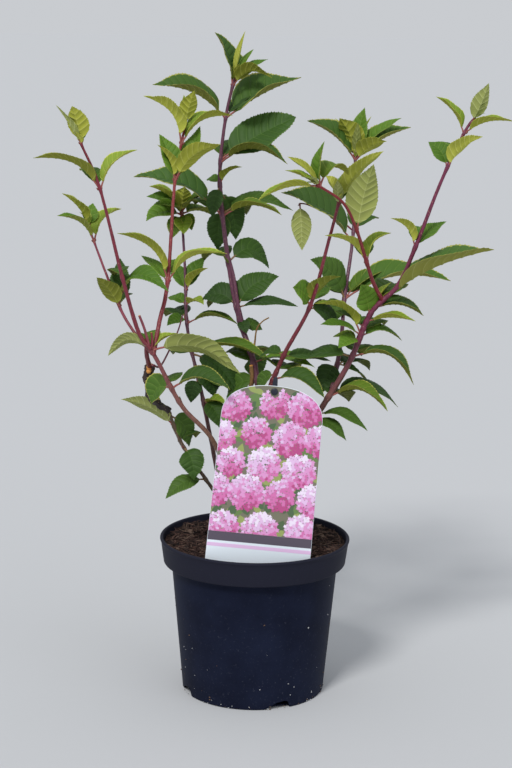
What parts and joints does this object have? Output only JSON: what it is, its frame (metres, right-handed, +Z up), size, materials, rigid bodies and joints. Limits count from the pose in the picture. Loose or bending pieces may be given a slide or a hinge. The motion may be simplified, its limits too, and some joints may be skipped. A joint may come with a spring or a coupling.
{
  "type": "potted hydrangea shrub",
  "caption": "Young panicle hydrangea shrub with upright red stems and opposite leaves, in a round black nursery pot with a picture label.",
  "frame": {"origin": "centre of the pot's flat underside", "axes": "+Z up, -Y towards the front, where the label stands, +X to the right seen from the front"},
  "size_m": [0.443, 0.2976, 0.651],
  "materials": {
    "pot": "satin, slightly dusty",
    "compost": "loose fibrous compost",
    "label": "printed plastic, satin",
    "peg": "satin",
    "young_bark": "smooth red bark",
    "old_bark": "flaking brown bark",
    "foliage": "matt leaf, satin upper face"
  },
  "bodies": {
    "root": {"back_left_low_leaves": "foliage", "back_left_mid_leaves": "foliage", "back_left_stem": "young_bark", "back_left_tip_leaves": "foliage", "back_right_low_leaves": "foliage", "back_right_middle_leaves": "foliage", "back_right_stem": "young_bark", "back_right_tip_leaves": "foliage", "back_right_upper_leaves": "foliage", "centre_leaves": "foliage", "inner_low_leaves": "foliage", "inner_shoot": "young_bark", "inner_tip_leaves": "foliage", "inner_upper_leaves": "foliage", "label": "label", "label_peg": "peg", "left_bough": "young_bark", "left_fork_leaves": "foliage", "left_low_leaves": "foliage", "left_shoot": "young_bark", "left_tip_leaves": "foliage", "left_upper_leaves": "foliage", "low_left_leaves": "foliage", "low_stem": "old_bark", "lowest_leaves": "foliage", "mid_right_leaves": "foliage", "mid_right_low_leaves": "foliage", "mid_right_stem": "young_bark", "mid_right_tip_leaves": "foliage", "old_stub": "old_bark", "outer_low_leaves": "foliage", "outer_shoot": "young_bark", "outer_tip_leaves": "foliage", "outer_upper_leaves": "foliage", "pot": "pot", "right_bough": "young_bark", "right_foot_leaves": "foliage", "right_knee_leaves": "foliage", "right_lower_leaves": "foliage", "right_middle_leaves": "foliage", "right_tip_leaves": "foliage", "right_upper_leaves": "foliage", "side_lower_leaves": "foliage", "side_shoot": "young_bark", "side_tip_leaves": "foliage", "side_upper_leaves": "foliage", "soil": "compost", "tall_foot_leaves": "foliage", "tall_knee_leaves": "foliage", "tall_lower_leaves": "foliage", "tall_middle_leaves": "foliage", "tall_stem": "young_bark", "tall_tip_leaves": "foliage", "tall_upper_leaves": "foliage"}
  },
  "joints": []
}
